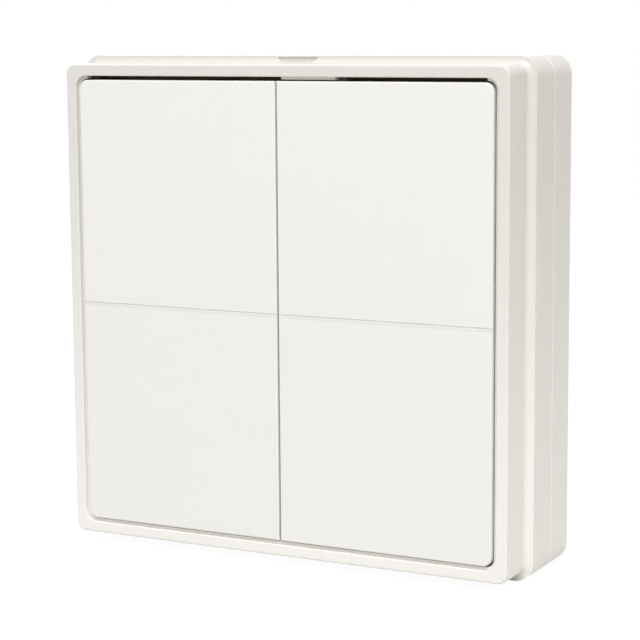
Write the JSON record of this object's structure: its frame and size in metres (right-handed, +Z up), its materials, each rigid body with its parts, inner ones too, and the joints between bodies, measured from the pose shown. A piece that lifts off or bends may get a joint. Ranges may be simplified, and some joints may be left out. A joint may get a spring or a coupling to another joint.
{
  "type": "bluetooth button switch",
  "caption": "Battery powered wireless wall switch: a square box with a stepped frame and rockers that each press at the top or the bottom to send a radio signal.",
  "frame": {"origin": "middle of the flat back face that lies on the wall", "axes": "+X to the right and +Z up as seen by the person who presses the rockers, +Y into the wall; the rockers face -Y"},
  "size_m": [0.086, 0.024, 0.086],
  "materials": {
    "shell_plastic": "satin",
    "frame_plastic": "gloss",
    "rocker_plastic": "satin",
    "carrier_plastic": "matte",
    "elastomer": "matte",
    "circuit_board": "satin",
    "module_board": "satin",
    "switch_plastic": "satin",
    "stem_plastic": "satin",
    "tinned_steel": "satin",
    "ceramic_part": "matte",
    "capacitor_can": "satin",
    "led_resin": "gloss",
    "chip_resin": "matte",
    "cell_case": "satin",
    "contact_steel": "gloss",
    "screw_steel": "satin"
  },
  "bodies": {
    "housing": {"wall_base": "shell_plastic", "front_housing": "shell_plastic", "front_frame": "frame_plastic", "rocker_carrier": "carrier_plastic", "stop_pads": "elastomer", "main_board": "circuit_board", "pairing_switch_body": "switch_plastic", "pairing_switch_cover": "tinned_steel", "bluetooth_module": "module_board", "module_shield": "tinned_steel", "chip_antenna": "ceramic_part", "buffer_capacitor": "capacitor_can", "clock_crystal": "capacitor_can", "status_led": "led_resin", "chip_components": "chip_resin", "battery_holder": "carrier_plastic", "upper_cell": "cell_case", "lower_cell": "cell_case", "bridge_contact": "contact_steel", "positive_contact": "contact_steel", "negative_contact": "contact_steel", "upper_cell_spring": "contact_steel", "lower_cell_spring": "contact_steel", "carrier_screws": "screw_steel", "holder_screws": "screw_steel", "top_left_switch_body": "switch_plastic", "top_left_switch_cover": "tinned_steel", "top_left_switch_spring": "contact_steel", "top_right_switch_body": "switch_plastic", "top_right_switch_cover": "tinned_steel", "top_right_switch_spring": "contact_steel", "bottom_left_switch_body": "switch_plastic", "bottom_left_switch_cover": "tinned_steel", "bottom_left_switch_spring": "contact_steel", "bottom_right_switch_body": "switch_plastic", "bottom_right_switch_cover": "tinned_steel", "bottom_right_switch_spring": "contact_steel"},
    "left_rocker": {"left_rocker": "rocker_plastic"},
    "right_rocker": {"right_rocker": "rocker_plastic"},
    "top_left_stem": {"top_left_switch_stem": "stem_plastic"},
    "top_right_stem": {"top_right_switch_stem": "stem_plastic"},
    "bottom_left_stem": {"bottom_left_switch_stem": "stem_plastic"},
    "bottom_right_stem": {"bottom_right_switch_stem": "stem_plastic"},
    "pairing_button": {"pairing_button": "switch_plastic"}
  },
  "joints": [
    {"name": "left_rocker_hinge", "type": "hinge", "parent": "housing", "child": "left_rocker", "pos_m": [0, -0.0198, 0], "axis": [1, 0, 0], "range_deg": [-1.5, 1.5], "stiffness_Nm_per_rad": 0.5},
    {"name": "right_rocker_hinge", "type": "hinge", "parent": "housing", "child": "right_rocker", "pos_m": [0, -0.0198, 0], "axis": [1, 0, 0], "range_deg": [-1.5, 1.5], "stiffness_Nm_per_rad": 0.5},
    {"name": "top_left_stem_slide", "type": "slide", "parent": "housing", "child": "top_left_stem", "axis": [0, 1, 0], "range_m": [-0.00063, 0.00063], "deforming": ["top_left_switch_spring"]},
    {"name": "top_right_stem_slide", "type": "slide", "parent": "housing", "child": "top_right_stem", "axis": [0, 1, 0], "range_m": [-0.00063, 0.00063], "deforming": ["top_right_switch_spring"]},
    {"name": "bottom_left_stem_slide", "type": "slide", "parent": "housing", "child": "bottom_left_stem", "axis": [0, 1, 0], "range_m": [-0.00063, 0.00063], "deforming": ["bottom_left_switch_spring"]},
    {"name": "bottom_right_stem_slide", "type": "slide", "parent": "housing", "child": "bottom_right_stem", "axis": [0, 1, 0], "range_m": [-0.00063, 0.00063], "deforming": ["bottom_right_switch_spring"]},
    {"name": "pairing_button_slide", "type": "slide", "parent": "housing", "child": "pairing_button", "axis": [0, -1, 0], "range_m": [0, 0.00025], "stiffness_N_per_m": 5}
  ],
  "couplings": [
    {"joint": "top_left_stem_slide", "follows": "left_rocker_hinge", "m_per_rad": -0.024},
    {"joint": "top_right_stem_slide", "follows": "right_rocker_hinge", "m_per_rad": -0.024},
    {"joint": "bottom_left_stem_slide", "follows": "left_rocker_hinge", "m_per_rad": 0.024},
    {"joint": "bottom_right_stem_slide", "follows": "right_rocker_hinge", "m_per_rad": 0.024}
  ]
}
